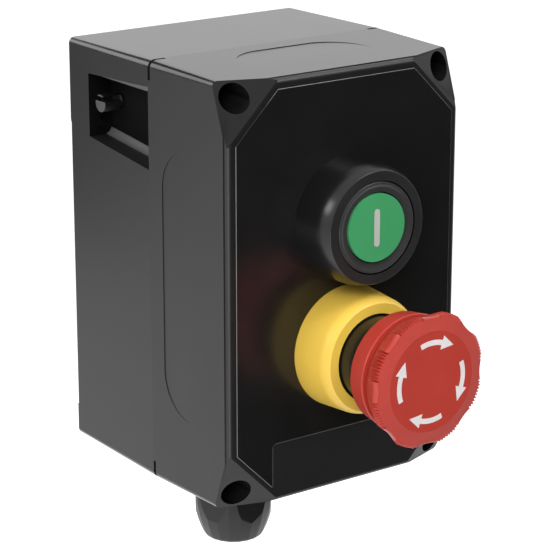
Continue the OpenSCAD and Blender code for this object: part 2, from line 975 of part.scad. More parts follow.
// Rear part of the head, which turns on the pin of the shaft.
module estop_skirt() {
    key_angle = asin(stop_w / pin_d) + stop_clear;
    color(signal_red)
    at_device(-1, head_rear)
    difference() {
        union() {
            cylinder(h = skirt_h, d1 = skirt_d, d2 = skirt_front_d);
            translate([0, 0, skirt_h])
                cylinder(h = head_groove, d = skirt_d - 1.4);
        }
        translate([0, 0, -over])
            cylinder(h = skirt_h + head_groove + 2 * over, d = pin_d + 2 * slide_gap);
        // Sector that the key of the shaft moves in
        translate([0, 0, -over])
            rotate(-key_angle)
                rotate_extrude(angle = estop_turn + 2 * key_angle)
                    square([pin_d / 2 + stop_h + 0.3, stop_l + 0.3 + over]);
        translate([0, 0, skirt_h - 1])
            cylinder(h = 1 + head_groove + over, d = screw_flange_d + 1.4);
    }
}

screw_flange_d = 16;
screw_flange_h = 1.2;

// Front part of the head: a flared disc with shallow finger hollows around it.
module estop_cap() {
    rim = 1.2;
    rim_w = 0.9;
    crest = 2;
    waist_r = skirt_front_d / 2 + 0.4;
    cap_r = cap_d / 2;
    // Radius of the hollows, from their width across the crests and their depth
    hollow_r = pow(cap_hollow_w, 2) / (8 * cap_hollow_depth) + cap_hollow_depth / 2;
    color(signal_red)
    at_device(-1, cap_rear)
    difference() {
        rotate_extrude()
            polygon([[0, 0], [waist_r, 0], [cap_r, cap_h - rim - rim_w - crest],
                     [cap_r, cap_h - rim - rim_w], [cap_r - rim_w, cap_h - rim],
                     [disc_d / 2, cap_h], [0, cap_h]]);
        for (turn = [0:cap_hollows - 1])
            rotate(360 / cap_hollows * turn)
                translate([cap_r - cap_hollow_depth + hollow_r, 0, -over])
                    cylinder(h = cap_h + 2 * over, r = hollow_r);
        translate([0, 0, cap_h - disc_t])
            cylinder(h = disc_t + over, d = disc_d + 2 * slide_gap);
        translate([0, 0, -over])
            cylinder(h = screw_space_h + over, d = screw_flange_d + 1.4);
    }
}

screw_space_h = 3.6;

module estop_disc() {
    color(disc_red)
    at_device(-1, head_front - disc_t)
        cylinder(h = disc_t, d = disc_d);
}

// Screw with a wide flange that keeps the head on its pin.
module estop_head_screw() {
    color(steel)
    at_device(-1, pin_front)
    difference() {
        union() {
            translate([0, 0, -head_screw_l])
                cylinder(h = head_screw_l, d = head_screw_d);
            cylinder(h = screw_flange_h, d = screw_flange_d);
            translate([0, 0, screw_flange_h])
                cylinder(h = head_screw_h, d = head_screw_head);
        }
        translate([-head_screw_head, -slot_w / 2, screw_flange_h + head_screw_h / 2])
            cube([2 * head_screw_head, slot_w, head_screw_h]);
    }
}

// Housing of a contact block: a tower for the plunger between two lower
// shoulders with the terminals, and feet that hook on the rail.
module contact_block(level) {
    w = block_w / 2;
    tower = 11;
    shoulder = block_front - block_step;
    lip = rail_w / 2;
    foot = rail_front - rail_t;
    color(block_grey)
    translate([0, 0, level * device_z])
    difference() {
        extrude_upright([[-w, foot - 1.6], [-lip + 2, foot - 1.6], [-lip + 2, foot - 0.1],
                         [-lip - 0.2, foot - 0.1], [-lip - 0.2, rail_front],
                         [lip + 0.2, rail_front], [lip + 0.2, foot - 0.1],
                         [lip - 2, foot - 0.1], [lip - 2, foot - 1.6], [w, foot - 1.6],
                         [w, shoulder], [tower, shoulder], [tower, block_front],
                         [-tower, block_front], [-tower, shoulder], [-w, shoulder]], block_h);
        at_depth(block_front - plunger_in - estop_travel - 2)
            cylinder(h = plunger_in + estop_travel + 2 + over, d = plunger_d + 2 * slide_gap);
        at_terminals()
            at_depth(shoulder - terminal_l)
                cylinder(h = terminal_l + over, d = terminal_d);
        // Wire entries below the terminals
        for (side = [-1, 1])
            for (end = [-1, 1])
                translate([side * (w - 7), -shoulder + 12, end * terminal_z])
                    rotate([0, side * 90, 0])
                        cylinder(h = 7 + over, d = 5);
    }
}

block_step = 11;
plunger_in = 9;
terminal_d = 6.4;
terminal_l = 6;
terminal_z = 9;

// Places a child at the four terminals of a block that is centred on z = 0.
module at_terminals() {
    for (side = [-1, 1])
        for (end = [-1, 1])
            translate([side * (block_w / 2 - 5), 0, end * terminal_z])
                children();
}

module terminals(level) {
    top = block_front - block_step - 1;
    color(brass)
    translate([0, 0, level * device_z])
    at_terminals()
    at_depth(0)
    difference() {
        translate([0, 0, block_front - block_step - terminal_l])
            cylinder(h = terminal_l - 1, d = terminal_d - 2 * fit_gap);
        translate([-terminal_d / 2, -0.5, top - 1.2])
            cube([terminal_d, 1, 2]);
    }
}

module plunger(level) {
    tip = 1;
    length = plunger_front - block_front + plunger_in;
    color(signal_red)
    at_device(level, block_front - plunger_in)
    rotate_extrude() {
        square([plunger_d / 2, length - tip]);
        square([plunger_d / 2 - tip, length]);
        translate([plunger_d / 2 - tip, length - tip])
            circle(r = tip);
    }
}

module start_contact_block() {
    contact_block(1);
}

module estop_contact_block() {
    contact_block(-1);
}

module start_terminals() {
    terminals(1);
}

module estop_terminals() {
    terminals(-1);
}

module start_plunger() {
    plunger(1);
}

module estop_plunger() {
    plunger(-1);
}

module mounting_rail() {
    lip = rail_w / 2;
    web = 13.5;
    b = rail_back;
    f = rail_front;
    t = rail_t;
    color(steel)
    difference() {
        translate([0, 0, rail_mid])
            extrude_upright([[-web, b], [web, b], [web, f - t], [lip, f - t], [lip, f],
                             [web - t, f], [web - t, b + t], [t - web, b + t], [t - web, f],
                             [-lip, f], [-lip, f - t], [-web, f - t]], rail_l);
        for (height = rail_screw_heights)
            translate([0, 0, height])
                at_depth(b - over)
                    cylinder(h = t + 2 * over, d = rail_screw_d + 4 * fit_gap);
    }
}

module rail_screws() {
    color(steel)
    for (height = rail_screw_heights)
        translate([0, 0, height])
            at_depth(0)
                difference() {
                    union() {
                        translate([0, 0, rail_screw_tip + 0.3])
                            cylinder(h = rail_back + rail_t - rail_screw_tip - 0.3, d = rail_screw_d);
                        translate([0, 0, rail_back + rail_t])
                            cylinder(h = 2.6, d = 7.6);
                    }
                    translate([-3, -0.5, rail_back + rail_t + 1.4])
                        cube([6, 1, 2]);
                }
}

// Slotted stud of the bonding terminal, through the wall of the left channel.
module bonding_stud() {
    out = stud_out;
    through = channel_wall + 7.4;
    color(steel)
    translate([-channel_x, -stud_depth, stud_z])
    difference() {
        union() {
            rotate([0, -90, 0])
                cylinder(h = out, d = stud_d);
            rotate([0, 90, 0])
                cylinder(h = through, d = stud_thread_d);
        }
        translate([-out - over, -stud_d, 0.7])
            cube([out - 1.2 + over, 2 * stud_d, stud_slot]);
    }
}

module bonding_washer() {
    color(steel)
    translate([-channel_x + channel_wall, -stud_depth, stud_z])
        rotate([0, 90, 0])
            ring(bonding_washer_d, stud_thread_d + 2 * fit_gap, bonding_washer_t);
}

module bonding_nut() {
    color(brass)
    translate([-channel_x + channel_wall + bonding_washer_t, -stud_depth, stud_z])
        rotate([0, 90, 0])
            difference() {
                hexagon(bonding_nut_flats, bonding_nut_h);
                translate([0, 0, -over])
                    cylinder(h = bonding_nut_h + 2 * over, d = stud_thread_d + 2 * slide_gap);
            }
}

bonding_washer_d = 12;
bonding_washer_t = 1.2;
bonding_nut_flats = 10;
bonding_nut_h = 5;

// Earth terminal, clipped on the lower end of the rail.
module earth_terminal() {
    w = rail_w / 2 + earth_overhang;
    lip = rail_w / 2;
    foot = rail_front - rail_t;
    top = rail_front + earth_rise;
    color(earth_green)
    translate([0, 0, -device_z - block_h / 2 - earth_gap])
    difference() {
        extrude_upright([[-lip - 2.6, foot - 1.4], [-lip + 2, foot - 1.4], [-lip + 2, foot - 0.1],
                         [-lip - 0.2, foot - 0.1], [-lip - 0.2, rail_front],
                         [lip + 0.2, rail_front], [lip + 0.2, foot - 0.1], [lip - 2, foot - 0.1],
                         [lip - 2, foot - 1.4], [lip + 2.6, foot - 1.4], [w, rail_front + earth_rise / 2],
                         [w / 2, top], [-w / 2, top], [-w, rail_front + earth_rise / 2]], earth_h);
        for (side = [-1, 1])
            translate([side * w / 4, 0, 0])
                at_depth(top - earth_hole)
                    cylinder(h = earth_hole + over, d = earth_hole);
    }
}

earth_overhang = 3.5;
earth_rise = 14;
earth_gap = 6.5;
earth_h = 8;
earth_hole = 5;

// Places a shape under the box, on the axis of the gland, with its z axis
// pointing down from the seat of the gland.
module under_seat(distance) {
    translate([0, -gland_depth, -gland_face - distance])
        mirror([0, 0, 1])
            children();
}

gland_face = half_h - base_taper + gland_seat;
gland_washer_t = 1.5;
gland_washer_lip = 3;
gland_nut_h = 5;
gland_hex_h = 8.5;
gland_body_l = 20;
gland_bore_d = 18;

module hexagon(flats, height) {
    cylinder(h = height, d = flats / cos(30), $fn = 6);
}

module gland_body() {
    inside = wall + gland_seat - base_taper + 7;
    pocket_d = gland_thread_d - 4;
    color(nylon_black)
    under_seat(gland_washer_t)
    difference() {
        union() {
            translate([0, 0, -inside - gland_washer_t])
                cylinder(h = inside + gland_washer_t, d = gland_thread_d);
            hexagon(gland_flats, gland_hex_h);
            cylinder(h = gland_body_l, d = gland_thread_d);
        }
        translate([0, 0, -inside - gland_washer_t - over])
            cylinder(h = gland_body_l + inside + 2 * over + 4, d = gland_bore_d);
        translate([0, 0, gland_body_l - 10])
            cylinder(h = 10 + over, d = pocket_d);
    }
}

module gland_washer() {
    color(rubber_black)
    under_seat(0)
        ring(gland_flats + gland_washer_lip, gland_thread_d + 2 * fit_gap, gland_washer_t);
}

module gland_lock_nut() {
    color(nylon_black)
    translate([0, -gland_depth, wall - half_h])
    difference() {
        hexagon(gland_flats, gland_nut_h);
        translate([0, 0, -over])
            cylinder(h = gland_nut_h + 2 * over, d = gland_thread_d + 2 * slide_gap);
    }
}

module gland_seal() {
    color(rubber_black)
    under_seat(gland_washer_t + gland_body_l - 10)
        ring(gland_thread_d - 4 - 2 * fit_gap, 15, 11);
}

// Cap nut: its six flats are drawn in by a turned outline, first straight and
// then in one long arc, so that each flat ends in a scallop.
module gland_cap_nut() {
    start = gland_washer_t + gland_hex_h + 0.6;
    r = gland_cap_d / 2;
    l = gland_cap_l;
    edge = 0.9;
    arc_l = gland_cap_arc / 2;
    cavity = gland_body_l - gland_hex_h + 2;
    sweep = asin((arc_l - edge) / gland_cap_arc);
    end_r = r - gland_cap_arc * (1 - cos(sweep));
    color(nylon_black)
    under_seat(start)
    rotate(gland_cap_turn)
    difference() {
        intersection() {
            rotate_extrude()
                polygon(concat([[0, 0], [r, 0]],
                               [for (k = [0:6])
                                   [r - gland_cap_arc * (1 - cos(sweep * k / 6)),
                                    l - arc_l + gland_cap_arc * sin(sweep * k / 6)]],
                               [[end_r - edge, l], [0, l]]));
            hexagon(gland_flats - 0.2, l);
        }
        translate([0, 0, -over])
            cylinder(h = cavity + over, d = gland_thread_d + 2 * fit_gap);
        translate([0, 0, cavity - slice])
            cylinder(h = 9, d1 = gland_thread_d + 2 * fit_gap, d2 = gland_hole_d);
        cylinder(h = l + over, d = gland_hole_d);
    }
}

rear_housing();
front_cover();
cover_gasket();
cover_screws();
threaded_inserts();
label_plate();
mounting_rail();
rail_screws();
bonding_stud();
bonding_washer();
bonding_nut();
earth_terminal();
start_collar();
start_collar_seal();
start_sleeve();
start_lock_nut();
start_button();
start_insert();
start_shaft_seal();
start_clip();
start_spring();
start_contact_block();
start_terminals();
start_plunger();
estop_collar();
estop_collar_seal();
estop_sleeve();
estop_lock_nut();
estop_shaft();
estop_shaft_seal();
estop_neck();
estop_skirt();
estop_cap();
estop_disc();
estop_head_screw();
estop_latch_ring();
estop_clip();
estop_spring();
estop_contact_block();
estop_terminals();
estop_plunger();
gland_body();
gland_washer();
gland_lock_nut();
gland_seal();
gland_cap_nut();
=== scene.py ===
from math import acos, asin, atan2, cos, pi, radians, sin

import bmesh
import bpy
from mathutils import Matrix, Vector


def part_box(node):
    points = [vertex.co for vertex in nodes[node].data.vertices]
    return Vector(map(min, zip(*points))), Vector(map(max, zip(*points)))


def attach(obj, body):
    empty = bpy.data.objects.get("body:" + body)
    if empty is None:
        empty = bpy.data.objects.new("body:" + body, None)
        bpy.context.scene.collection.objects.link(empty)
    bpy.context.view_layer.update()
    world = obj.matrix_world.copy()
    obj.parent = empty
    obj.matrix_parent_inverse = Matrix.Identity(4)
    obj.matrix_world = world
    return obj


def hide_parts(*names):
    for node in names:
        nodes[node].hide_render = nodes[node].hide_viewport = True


# The control station as it comes packed: two moulded shells on a wall screw pattern,
# a start button above an emergency stop, and a cable gland below. Its nodes are the
# machined and moulded pieces, and what follows gives them their finish and fine forms.
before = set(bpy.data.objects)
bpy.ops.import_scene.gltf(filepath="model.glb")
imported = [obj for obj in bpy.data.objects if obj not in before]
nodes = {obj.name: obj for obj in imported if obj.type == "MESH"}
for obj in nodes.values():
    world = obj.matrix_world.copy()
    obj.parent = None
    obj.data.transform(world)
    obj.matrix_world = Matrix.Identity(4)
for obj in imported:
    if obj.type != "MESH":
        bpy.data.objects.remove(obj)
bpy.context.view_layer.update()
mm = 0.001


# The photographer's camera: a long lens a little above the station and to its left,
# so that the left side, the top and the front all show.
lens = 152.56
camera_place = Vector((-481.33, -724.37, 244.68)) * mm
camera_turn = radians(-35.849)
camera_tilt = radians(17.109)
camera_roll = radians(0.023)

camera_data = bpy.data.cameras.new("studio_camera")
camera_data.lens = lens
camera_data.sensor_width = 36.0
camera_data.clip_start = 0.01
camera = bpy.data.objects.new("studio_camera", camera_data)
bpy.context.scene.collection.objects.link(camera)
camera.matrix_world = (
    Matrix.Translation(camera_place)
    @ Matrix.Rotation(camera_turn, 4, "Z")
    @ Matrix.Rotation(pi / 2 - camera_tilt, 4, "X")
    @ Matrix.Rotation(camera_roll, 4, "Z")
)
bpy.context.scene.camera = camera
bpy.context.scene.view_settings.view_transform = "Standard"


# The studio: a white floor under the station, which hangs free above it, a white
# surround and soft boxes. Black flags keep the front faces dark, and part the bright
# bands that the rounded edges of the shells show.
floor_drop = 0.90
floor_size = 12.0
floor_lift = 0.6
surround_light = 0.55
surround_seen = 1.0
studio_aim = Vector((0, -0.08, 0))


def seen_directly(tree):
    """Node that gives 1 for a ray from the camera or off a glossy face, and else 0."""
    light_path = tree.nodes.new("ShaderNodeLightPath")
    seen = tree.nodes.new("ShaderNodeMath")
    seen.operation = "MAXIMUM"
    tree.links.new(light_path.outputs["Is Camera Ray"], seen.inputs[0])
    tree.links.new(light_path.outputs["Is Glossy Ray"], seen.inputs[1])
    return seen


def new_material(name):
    """A new material, and its Principled shader."""
    material = bpy.data.materials.new(name)
    material.use_nodes = True
    return material, material.node_tree.nodes["Principled BSDF"]


def soft_box(name, place, size, watts):
    """A square soft box that looks from its place towards the station."""
    lamp = bpy.data.lights.new(name, "AREA")
    lamp.shape = "SQUARE"
    lamp.size = size
    lamp.energy = watts
    box = bpy.data.objects.new(name, lamp)
    bpy.context.scene.collection.objects.link(box)
    box.location = place
    box.rotation_euler = (studio_aim - Vector(place)).to_track_quat("-Z", "Y").to_euler()
    return box


def black_flag(name, place, width, height):
    """A black cloth that looks towards the station, and that the camera doesn't see."""
    turn = (studio_aim - Vector(place)).to_track_quat("Z", "Y").to_euler()
    bpy.ops.object.select_all(action="DESELECT")
    bpy.ops.mesh.primitive_plane_add(size=1, location=place, rotation=turn)
    flag = bpy.context.object
    flag.name = name
    flag.scale = (width, height, 1)
    flag.data.materials.append(flag_cloth)
    flag.visible_camera = False


world = bpy.data.worlds.new("white_surround")
bpy.context.scene.world = world
world.use_nodes = True
tree = world.node_tree
tree.nodes.clear()
strength = tree.nodes.new("ShaderNodeMapRange")
strength.inputs["To Min"].default_value = surround_light
strength.inputs["To Max"].default_value = surround_seen
background = tree.nodes.new("ShaderNodeBackground")
background.inputs["Color"].default_value = (1, 1, 1, 1)
world_output = tree.nodes.new("ShaderNodeOutputWorld")
tree.links.new(seen_directly(tree).outputs[0], strength.inputs["Value"])
tree.links.new(strength.outputs["Result"], background.inputs["Strength"])
tree.links.new(background.outputs["Background"], world_output.inputs["Surface"])

bpy.ops.object.select_all(action="DESELECT")
bpy.ops.mesh.primitive_plane_add(size=floor_size, location=(0, 0, -floor_drop))
floor = bpy.context.object
floor.name = "studio_floor"
floor_paint, shader = new_material("white_floor")
tree = floor_paint.node_tree
shader.inputs["Base Color"].default_value = (0.9, 0.9, 0.9, 1)
shader.inputs["Roughness"].default_value = 0.9
shader.inputs["Emission Color"].default_value = (1, 1, 1, 1)
lift = tree.nodes.new("ShaderNodeMapRange")
lift.inputs["To Min"].default_value = 0.0
lift.inputs["To Max"].default_value = floor_lift
tree.links.new(seen_directly(tree).outputs[0], lift.inputs["Value"])
tree.links.new(lift.outputs["Result"], shader.inputs["Emission Strength"])
floor.data.materials.append(floor_paint)

soft_box("left_box", (-1.10, 0.22, 0.66), size=0.40, watts=2.8)
camera_box = soft_box("camera_box", (-0.80, -1.10, 0.70), size=0.8, watts=15.0)
camera_box.visible_glossy = False
soft_box("top_box", (0.42, -0.72, 1.10), size=0.7, watts=10.0)
soft_box("low_box", (-1.05, -0.85, -0.40), size=0.5, watts=3.5)
soft_box("back_box", (1.25, 1.75, 0.62), size=1.9, watts=12.3)
soft_box("edge_box", (-0.50, 0.86, 0.48), size=0.55, watts=2.1)

flag_cloth, shader = new_material("black_flag_cloth")
shader.inputs["Base Color"].default_value = (0.004, 0.004, 0.004, 1)
shader.inputs["Roughness"].default_value = 1.0
shader.inputs["Specular IOR Level"].default_value = 0.0
black_flag("front_flag", (0.30, -0.84, -0.02), width=2.0, height=1.5)
black_flag("side_flag", (-0.28, 0.28, 0.085), width=0.30, height=0.07)
black_flag("lower_flag", (-0.17, 0.28, -0.02), width=0.16, height=0.14)
black_flag("upper_flag", (-0.063, 0.30, 0.35), width=0.185, height=0.15)


# The two shells: black glass-fibre polyester, compression moulded. Their edges come out
# of the mould slightly rounded, and their sides have a fine grain. Inside the fixing
# channels and the screw wells they carry painted shade, and along the channels' edges a
# painted highlight.
weld_gap = 0.002 * mm


def take_up(piece):
    """Makes a piece the only one selected, and the active one."""
    bpy.ops.object.select_all(action="DESELECT")
    piece.select_set(True)
    bpy.context.view_layer.objects.active = piece


def finish_with(piece, *materials):
    """Gives a piece its materials, the first one all over."""
    piece.data.materials.clear()
    for material in materials:
        piece.data.materials.append(material)


def merged_copy(node, name, *materials):
    """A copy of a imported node, with its triangles joined into whole faces."""
    piece = bpy.data.objects.new(name, nodes[node].data.copy())
    bpy.context.scene.collection.objects.link(piece)
    finish_with(piece, *materials)
    take_up(piece)
    bpy.ops.object.mode_set(mode="EDIT")
    bpy.ops.mesh.select_all(action="SELECT")
    bpy.ops.mesh.remove_doubles(threshold=weld_gap)
    bpy.ops.mesh.dissolve_limited(angle_limit=radians(0.5))
    bpy.ops.object.mode_set(mode="OBJECT")
    return piece


def smooth_over(piece, corner):
    """Smooths a piece up to a corner angle, and keeps its flat faces flat."""
    take_up(piece)
    bpy.ops.object.shade_smooth_by_angle(angle=radians(corner))
    even = piece.modifiers.new("even_faces", "WEIGHTED_NORMAL")
    even.keep_sharp = True
    bpy.ops.object.modifier_apply(modifier=even.name)


def ease_edges(piece, width, corner=28, rows=2, paint=-1):
    """Rounds the edges that are sharper than a corner angle, and smooths the rest."""
    take_up(piece)
    ease = piece.modifiers.new("eased_edges", "BEVEL")
    ease.width = width
    ease.segments = rows
    ease.limit_method = "ANGLE"
    ease.angle_limit = radians(corner)
    ease.material = paint
    bpy.ops.object.modifier_apply(modifier=ease.name)
    smooth_over(piece, corner + 4)


def fit(piece, body, slot, *stands_for):
    """Puts a piece on its body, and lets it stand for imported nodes."""
    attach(piece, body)
    if stands_for:
        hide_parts(*stands_for)


def moulded_grain():
    """Node group with the height of the grain and a mottle for colour and gloss."""
    group = bpy.data.node_groups.new("moulded_grain", "ShaderNodeTree")
    add = group.interface.new_socket
    add("Grain Size", in_out="INPUT", socket_type="NodeSocketFloat").default_value = 2500
    add("Mottle Size", in_out="INPUT", socket_type="NodeSocketFloat").default_value = 60
    add("Height", in_out="OUTPUT", socket_type="NodeSocketFloat")
    add("Mottle", in_out="OUTPUT", socket_type="NodeSocketFloat")
    inlet = group.nodes.new("NodeGroupInput")
    outlet = group.nodes.new("NodeGroupOutput")
    place = group.nodes.new("ShaderNodeTexCoord")
    grain = group.nodes.new("ShaderNodeTexNoise")
    grain.inputs["Detail"].default_value = 3
    mottle = group.nodes.new("ShaderNodeTexNoise")
    mottle.inputs["Detail"].default_value = 4
    link = group.links.new
    link(place.outputs["Object"], grain.inputs["Vector"])
    link(place.outputs["Object"], mottle.inputs["Vector"])
    link(inlet.outputs["Grain Size"], grain.inputs["Scale"])
    link(inlet.outputs["Mottle Size"], mottle.inputs["Scale"])
    link(grain.outputs["Fac"], outlet.inputs["Height"])
    link(mottle.outputs["Fac"], outlet.inputs["Mottle"])
    return group


grain_group = moulded_grain()


def noise_to(tree, low, high):
    """Node that spreads the usual range of a noise over another range."""
    node = tree.nodes.new("ShaderNodeMapRange")
    node.inputs["From Min"].default_value = 0.3
    node.inputs["From Max"].default_value = 0.7
    node.inputs["To Min"].default_value = low
    node.inputs["To Max"].default_value = high
    return node


def plastic(name, colour, roughness, grain_size, grain_depth, mottle=0.1, spread=0.05, ior=1.5):
    """Moulded plastic: its colour and gloss vary a little with the mottle."""
    material, shader = new_material(name)
    tree = material.node_tree
    group = tree.nodes.new("ShaderNodeGroup")
    group.node_tree = grain_group
    group.inputs["Grain Size"].default_value = grain_size
    tone = noise_to(tree, 1 - mottle, 1 + mottle)
    gloss = noise_to(tree, roughness - spread, roughness + spread)
    shade = tree.nodes.new("ShaderNodeVectorMath")
    shade.operation = "SCALE"
    shade.inputs[0].default_value = colour
    bump = tree.nodes.new("ShaderNodeBump")
    bump.inputs["Strength"].default_value = 1.0
    bump.inputs["Distance"].default_value = grain_depth
    link = tree.links.new
    link(group.outputs["Mottle"], tone.inputs["Value"])
    link(group.outputs["Mottle"], gloss.inputs["Value"])
    link(tone.outputs["Result"], shade.inputs["Scale"])
    link(shade.outputs["Vector"], shader.inputs["Base Color"])
    link(gloss.outputs["Result"], shader.inputs["Roughness"])
    link(group.outputs["Height"], bump.inputs["Height"])
    link(bump.outputs["Normal"], shader.inputs["Normal"])
    shader.inputs["IOR"].default_value = ior
    return material


def repaint(piece, slot_number, wanted):
    """Gives the faces whose middle and normal are wanted another of the piece's materials."""
    for face in piece.data.polygons:
        if wanted(face.center, face.normal):
            face.material_index = slot_number


glass_polyester = plastic(
    "glass_polyester", (0.010, 0.010, 0.0105), roughness=0.42,
    grain_size=2200, grain_depth=0.01 * mm, spread=0.004)
# Painted shade: a near-black, barely glossy black that darkens the insides of the fixing channels and the
# screw wells.
painted_shade_polyester = plastic(
    "painted_shade_polyester", (0.004, 0.004, 0.004), roughness=0.7,
    grain_size=2200, grain_depth=0.01 * mm, spread=0.02, ior=1.12)
# Painted highlight: a lighter grey for the bevel and rounding along the fixing channels' edges, where the
# light falls in.
painted_highlight_polyester = plastic(
    "painted_highlight_polyester", (0.085, 0.085, 0.087), roughness=0.6,
    grain_size=2200, grain_depth=0.01 * mm, spread=0.02)
smooth_polyester = plastic(
    "smooth_polyester", (0.009, 0.009, 0.0095), roughness=0.22,
    grain_size=2200, grain_depth=0.001 * mm, spread=0.004)
shell_edge = 0.35 * mm
rounding_z = 64 * mm
channel_wall_x = 41.2 * mm
channel_span = (38 * mm, 69 * mm)
channel_back_y = -13.2 * mm
channel_fillet = 4 * mm
channel_rim = 1.8 * mm
well_x = 38.5 * mm
well_z = 65.5 * mm
well_side = 0.8 * mm
# A face stands square to an axis where its normal has less than this along the axis,
# and it is part of a bevel or a rounding where the normal lies within these spans.
square = 0.2
bevel_span = (0.15, 0.97)
rounding_span = (0.2, 0.98)

housing_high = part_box("rear_housing")[1]
cover_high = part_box("front_cover")[1]


def in_channel(place, normal):
    """Whether a face is the inner wall, the back or the screw hole of a fixing channel."""
    across = abs(place.x)
    behind = place.y > channel_back_y - 0.1 * mm or abs(normal.z) < square
    return (channel_wall_x < across < housing_high.x - channel_rim and behind
            and channel_span[0] < abs(place.z) < channel_span[1] and place.x * place.z < 0)


def on_channel_edge(place, normal):
    """Whether a face is the bevel of a channel's ceiling, or the rounding along its floor."""
    return (bevel_span[0] < abs(normal.x) < bevel_span[1] and abs(normal.y) < square
            and channel_wall_x < abs(place.x) and place.y < channel_back_y
            and channel_span[0] - channel_fillet < abs(place.z) < channel_span[1] and place.x * place.z < 0)


def in_well(place, normal):
    """Whether a face is part of the bore of one of the four screw wells."""
    return (abs(normal.y) < square and well_x < abs(place.x) < cover_high.x - well_side
            and well_z < abs(place.z) < cover_high.z - well_side)


def on_rounding(place, normal):
    """Whether a face is part of the rounding between the top or the foot and a side."""
    return (abs(normal.y) < square / 2 and rounding_span[0] < abs(normal.z) < rounding_span[1]
            and abs(place.z) > rounding_z)


housing = merged_copy(
    "rear_housing", "rear_shell", glass_polyester, painted_shade_polyester, smooth_polyester, painted_highlight_polyester)
# The inner walls, backs and screw holes of the fixing channels get the painted shade.
repaint(housing, 1, in_channel)
repaint(housing, 2, on_rounding)
# The bevel and rounding along each channel's edges get the painted highlight.
repaint(housing, 3, on_channel_edge)
ease_edges(housing, shell_edge)
fit(housing, "station", "shell", "rear_housing")

cover = merged_copy("front_cover", "front_shell", glass_polyester, painted_shade_polyester, smooth_polyester)
# The bores of the screw wells get the same painted shade.
repaint(cover, 1, in_well)
repaint(cover, 2, on_rounding)
ease_edges(cover, shell_edge)
fit(cover, "station", "shell", "front_cover")


# Label plate: an engraving laminate, black and glossy, that stands a little proud of the
# panel. A fine grey line on its bevelled edges and along the open field's edge is a
# painted highlight.
def pick(piece, wanted):
    """Selects the vertices of the piece in edit mode whose place is wanted."""
    body = bmesh.from_edit_mesh(piece.data)
    for vertex in body.verts:
        vertex.select_set(wanted(vertex.co))
    body.select_flush_mode()
    bmesh.update_edit_mesh(piece.data)


gloss_laminate = plastic(
    "gloss_laminate", (0.010, 0.010, 0.010), roughness=0.22,
    grain_size=1200, grain_depth=0.001 * mm, spread=0.01)
# Painted highlight: a grey for the line along the plate's bevels and the open field's edge.
painted_edge_highlight = plastic(
    "painted_edge_highlight", (0.17, 0.17, 0.17), roughness=0.5,
    grain_size=1200, grain_depth=0.004 * mm)
plate_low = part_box("label_plate")[0]
hair = 0.05 * mm
field_x = 31.6 * mm
field_top = plate_low.z + 18.6 * mm
foot_r = 1.2 * mm
foot_h = 4 * mm
line_w = 0.3 * mm
plate_edge = 0.18 * mm

plate = merged_copy("label_plate", "front_plate", gloss_laminate, painted_edge_highlight)
bpy.ops.object.mode_set(mode="EDIT")
bpy.ops.mesh.select_mode(type="VERT")
pick(plate, lambda place: abs(abs(place.x) - field_x) < hair and place.z < plate_low.z + foot_h)
bpy.ops.mesh.bevel(offset=foot_r, segments=4, affect="EDGES")
pick(plate, lambda place: place.y < plate_low.y + hair)
bpy.ops.mesh.inset(thickness=line_w, depth=0)
bpy.ops.object.mode_set(mode="OBJECT")


def faces_front(place, normal, least=0.9):
    """Whether at least a share of a face's normal points out at the front."""
    return normal.y < -least


def beside_field(place, normal):
    """Whether a face is part of the painted highlight line along the open field's edge."""
    line = line_w * 1.2
    beside = field_x < abs(place.x) < field_x + line and place.z < field_top
    above = abs(place.x) < field_x + line_w and field_top < place.z < field_top + line
    return faces_front(place, normal) and (beside or above)


def on_upper_left(place, normal):
    """Whether a face is the bevel of the upper left corner, which is left without the painted highlight."""
    return normal.x < -square and normal.z > square


# The painted highlight goes on the line beside the field and on all the bevels, except those of the upper
# left corner.
repaint(plate, 1, beside_field)
ease_edges(plate, plate_edge, corner=50, rows=1, paint=1)
repaint(plate, 0, on_upper_left)
fit(plate, "station", "plate", "label_plate")


# Start button: a satin black collar that screws on the sleeve, and in it a black button
# with a shallow dish round its green insert, which carries the generic upright bar.
collar_plastic = plastic(
    "collar_plastic", (0.005, 0.005, 0.0055), roughness=0.25,
    grain_size=2600, grain_depth=0.002 * mm, spread=0.01)
button_plastic = plastic(
    "button_plastic", (0.036, 0.036, 0.0365), roughness=0.30,
    grain_size=2600, grain_depth=0.004 * mm, spread=0.01)
# Painted light: a lighter, rougher black for the collar's flat front face, as if lit from the front.
painted_lit_face = plastic(
    "painted_lit_face", (0.018, 0.018, 0.0185), roughness=0.42,
    grain_size=2600, grain_depth=0.004 * mm, spread=0.01)
green_plastic = plastic(
    "green_plastic", (0.055, 0.33, 0.125), roughness=0.42,
    grain_size=2600, grain_depth=0.01 * mm, mottle=0.03)
mark_paint = plastic(
    "mark_paint", (0.50, 0.49, 0.47), roughness=0.5,
    grain_size=3000, grain_depth=0.004 * mm, mottle=0.03)
turned_sides = 128


def step_on(middle, start, end, roundness=0.0):
    """Extrudes the selected ring from one (radius, y) to another, and rounds its outline."""
    bpy.ops.mesh.extrude_region_move(TRANSFORM_OT_translate={"value": (0, end[1] - start[1], 0)})
    if roundness:
        bpy.ops.transform.tosphere(value=roundness, center_override=(middle.x, end[1], middle.z))
    grow = end[0] / start[0]
    bpy.ops.transform.resize(value=(grow, 1, grow), center_override=(middle.x, end[1], middle.z))


